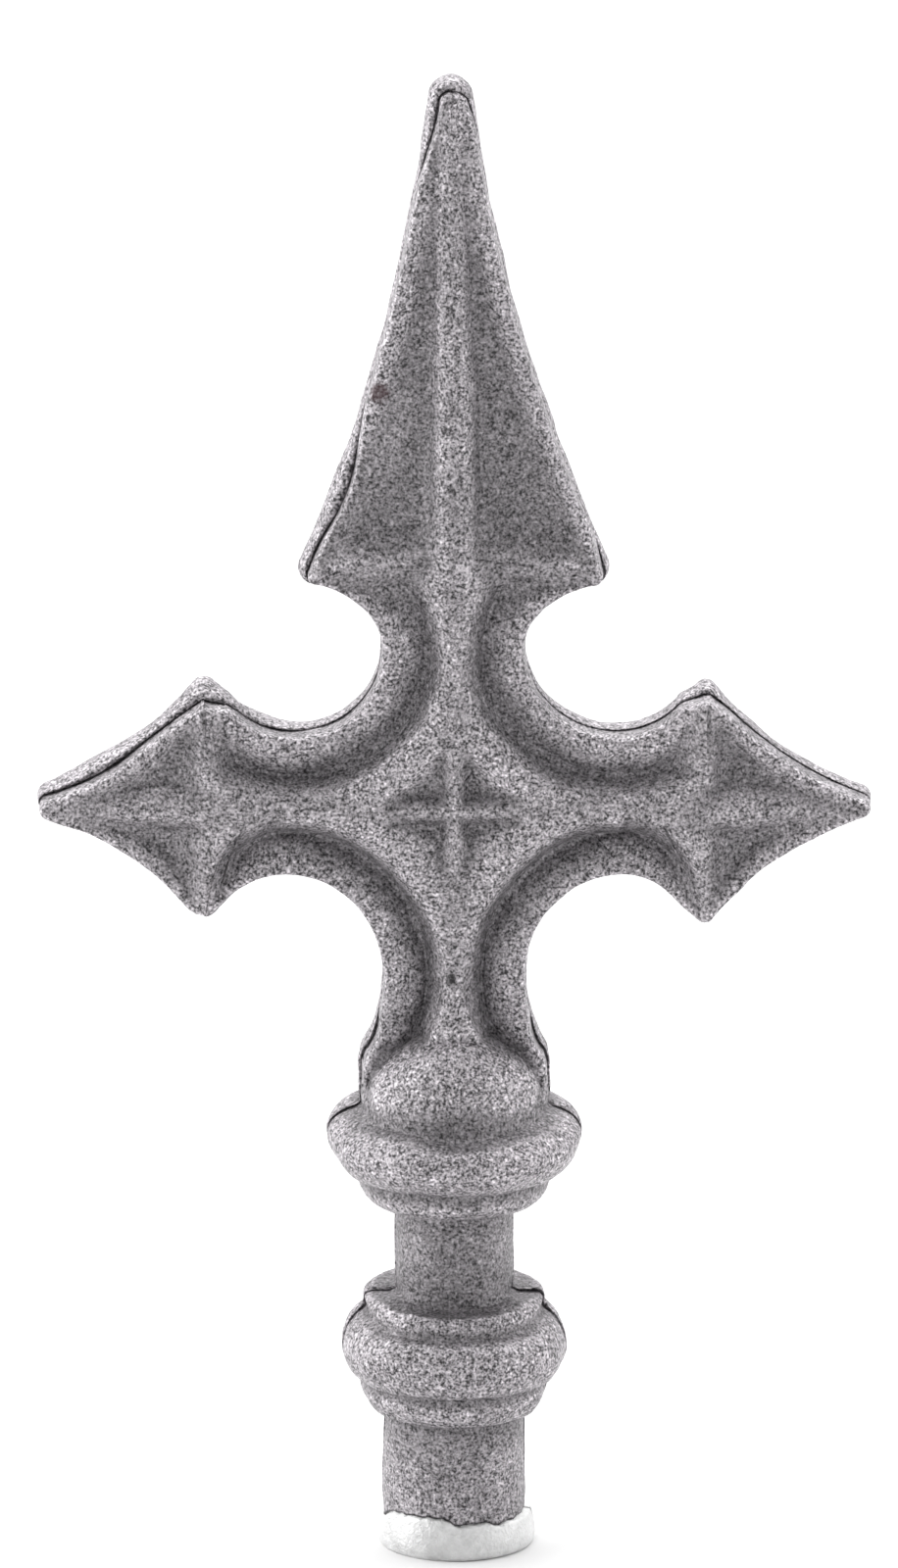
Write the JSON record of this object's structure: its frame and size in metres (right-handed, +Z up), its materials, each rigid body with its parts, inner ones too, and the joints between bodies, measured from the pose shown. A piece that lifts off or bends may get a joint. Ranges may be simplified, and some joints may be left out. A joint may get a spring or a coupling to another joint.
{
  "type": "fence spear point",
  "caption": "Cast-iron fence spear point: a long ribbed blade over a cross of two arrowhead arms, on a turned stem with collars and a plain round shank.",
  "frame": {"origin": "middle of the cut end of the shank, which the point stands on", "axes": "+Z up along the shank and blade, +X across the arms, -Y out of the front face"},
  "size_m": [0.1106, 0.0344, 0.2],
  "materials": {
    "cast_iron": "as cast and blasted, dull grey, fine sand grain"
  },
  "bodies": {
    "root": {"spear_point": "cast_iron"}
  },
  "joints": []
}
